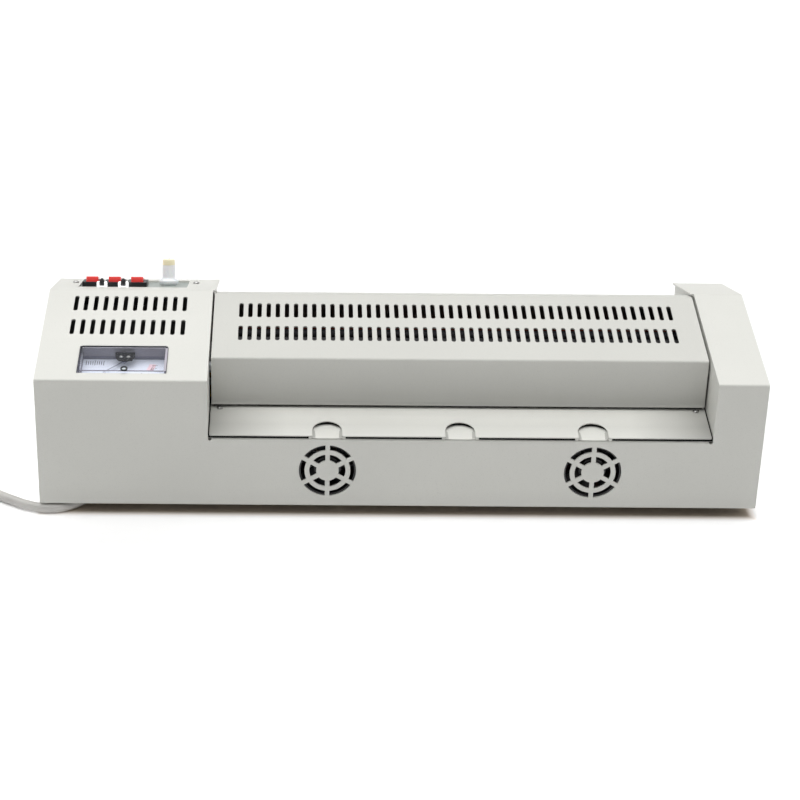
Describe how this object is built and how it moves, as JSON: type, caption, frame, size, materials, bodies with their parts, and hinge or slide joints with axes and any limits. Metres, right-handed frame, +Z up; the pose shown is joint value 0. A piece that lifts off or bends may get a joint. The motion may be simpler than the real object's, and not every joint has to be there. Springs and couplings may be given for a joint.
{
  "type": "pouch laminator",
  "caption": "Table-top pouch laminator in folded sheet metal: heated rollers under a slotted cover, a feed tray with thumb notches, meter, rocker switches and knob.",
  "frame": {"origin": "on the table, below the middle of the casing", "axes": "+X to the operator's right along the rollers, +Y from the infeed tray to the back, +Z up"},
  "size_m": [0.6513, 0.2548, 0.1294],
  "materials": {
    "casing_paint": "satin",
    "cover_paint": "satin",
    "tray_paint": "satin",
    "control_paint": "satin",
    "zinc_sheet": "satin",
    "zinc_screw": "satin",
    "steel_shaft": "polished",
    "black_rubber": "matte",
    "black_plastic": "satin",
    "red_plastic": "gloss",
    "clear_lens": "gloss",
    "knob_plastic": "satin",
    "cap_plastic": "satin",
    "dial_card": "matte",
    "needle_paint": "satin",
    "gear_nylon": "satin",
    "motor_steel": "satin",
    "bronze": "satin",
    "shoe_aluminium": "satin",
    "board_green": "satin",
    "silicone": "matte",
    "lead_pvc": "satin",
    "pin_brass": "polished"
  },
  "bodies": {
    "frame": {"casing": "casing_paint", "base_plate": "zinc_sheet", "top_cover": "cover_paint", "infeed_tray": "tray_paint", "exit_tray": "tray_paint", "rubber_feet": "black_rubber", "case_screws": "zinc_screw", "control_plate": "control_paint", "rocker_housings": "black_plastic", "lamp_lenses": "clear_lens", "lamp_cores": "black_plastic", "potentiometer": "zinc_screw", "meter_case": "black_plastic", "meter_dial": "dial_card", "meter_window": "clear_lens", "meter_boss": "black_plastic", "left_frame_plate": "zinc_sheet", "right_frame_plate": "zinc_sheet", "tie_bars": "steel_shaft", "idler_pin": "steel_shaft", "gear_motor": "motor_steel", "motor_bracket": "zinc_sheet", "roller_bushes": "bronze", "heating_shoes": "shoe_aluminium", "heater_rods": "steel_shaft", "thermal_cutouts": "black_plastic", "circuit_board": "board_green", "board_parts": "black_plastic", "fan_frames": "black_plastic", "strain_relief": "black_rubber", "mains_lead": "lead_pvc", "lead_coil": "lead_pvc", "coil_tie": "black_plastic", "plug_lead": "lead_pvc", "plug": "lead_pvc", "plug_pins": "pin_brass"},
    "left_rocker": {"rocker_left": "red_plastic"},
    "middle_rocker": {"rocker_middle": "red_plastic"},
    "right_rocker": {"rocker_right": "red_plastic"},
    "speed_knob": {"knob": "knob_plastic", "knob_cap": "cap_plastic", "knob_shaft": "steel_shaft"},
    "needle": {"meter_needle": "needle_paint"},
    "lower_front_roller": {"lower_front_sleeve": "silicone", "lower_front_shaft": "steel_shaft", "lower_front_gear": "gear_nylon"},
    "upper_front_roller": {"upper_front_sleeve": "silicone", "upper_front_shaft": "steel_shaft", "upper_front_gear": "gear_nylon"},
    "lower_rear_roller": {"lower_rear_sleeve": "silicone", "lower_rear_shaft": "steel_shaft", "lower_rear_gear": "gear_nylon"},
    "upper_rear_roller": {"upper_rear_sleeve": "silicone", "upper_rear_shaft": "steel_shaft", "upper_rear_gear": "gear_nylon"},
    "idler": {"idler_gear": "gear_nylon"},
    "pinion": {"drive_pinion": "steel_shaft"},
    "left_fan": {"left_fan_rotor": "black_plastic"},
    "right_fan": {"right_fan_rotor": "black_plastic"}
  },
  "joints": [
    {"name": "left_rocker_tilt", "type": "hinge", "parent": "frame", "child": "left_rocker", "pos_m": [-0.227, 0.06, 0.11253], "axis": [1, 0, 0], "range_deg": [0, 20]},
    {"name": "middle_rocker_tilt", "type": "hinge", "parent": "frame", "child": "middle_rocker", "pos_m": [-0.21015, 0.06, 0.11253], "axis": [1, 0, 0], "range_deg": [0, 20]},
    {"name": "right_rocker_tilt", "type": "hinge", "parent": "frame", "child": "right_rocker", "pos_m": [-0.1933, 0.06, 0.11253], "axis": [1, 0, 0], "range_deg": [0, 20]},
    {"name": "speed_knob_turn", "type": "hinge", "parent": "frame", "child": "speed_knob", "pos_m": [-0.1702, 0.06573, 0.11076], "axis": [0, 0.2961, 0.9551], "range_deg": [-150, 150]},
    {"name": "needle_swing", "type": "hinge", "parent": "frame", "child": "needle", "pos_m": [-0.19475, -0.05671, 0.1039], "axis": [0, -0.158, 0.9874], "range_deg": [0, 90], "stiffness_Nm_per_rad": 0.0005, "springref_deg": -11.46},
    {"name": "lower_front_roller_turn", "type": "hinge", "parent": "frame", "child": "lower_front_roller", "pos_m": [0.0425, -0.02775, 0.06125], "axis": [1, 0, 0], "continuous": true},
    {"name": "upper_front_roller_turn", "type": "hinge", "parent": "frame", "child": "upper_front_roller", "pos_m": [0.0425, -0.02775, 0.08675], "axis": [1, 0, 0], "continuous": true},
    {"name": "lower_rear_roller_turn", "type": "hinge", "parent": "frame", "child": "lower_rear_roller", "pos_m": [0.0425, 0.02775, 0.06125], "axis": [1, 0, 0], "continuous": true},
    {"name": "upper_rear_roller_turn", "type": "hinge", "parent": "frame", "child": "upper_rear_roller", "pos_m": [0.0425, 0.02775, 0.08675], "axis": [1, 0, 0], "continuous": true},
    {"name": "idler_turn", "type": "hinge", "parent": "frame", "child": "idler", "pos_m": [-0.1449, 0, 0.06125], "axis": [1, 0, 0], "continuous": true},
    {"name": "pinion_turn", "type": "hinge", "parent": "frame", "child": "pinion", "pos_m": [-0.1449, 0, 0.03725], "axis": [1, 0, 0], "continuous": true},
    {"name": "left_fan_turn", "type": "hinge", "parent": "frame", "child": "left_fan", "pos_m": [-0.0505, -0.087, 0.0364], "axis": [0, 1, 0], "continuous": true},
    {"name": "right_fan_turn", "type": "hinge", "parent": "frame", "child": "right_fan", "pos_m": [0.137, -0.087, 0.0364], "axis": [0, 1, 0], "continuous": true}
  ],
  "couplings": [
    {"joint": "upper_front_roller_turn", "follows": "lower_front_roller_turn", "ratio": -1},
    {"joint": "lower_rear_roller_turn", "follows": "lower_front_roller_turn", "ratio": 1},
    {"joint": "upper_rear_roller_turn", "follows": "lower_front_roller_turn", "ratio": -1},
    {"joint": "idler_turn", "follows": "lower_front_roller_turn", "ratio": -0.85},
    {"joint": "pinion_turn", "follows": "lower_front_roller_turn", "ratio": 1.4167}
  ]
}
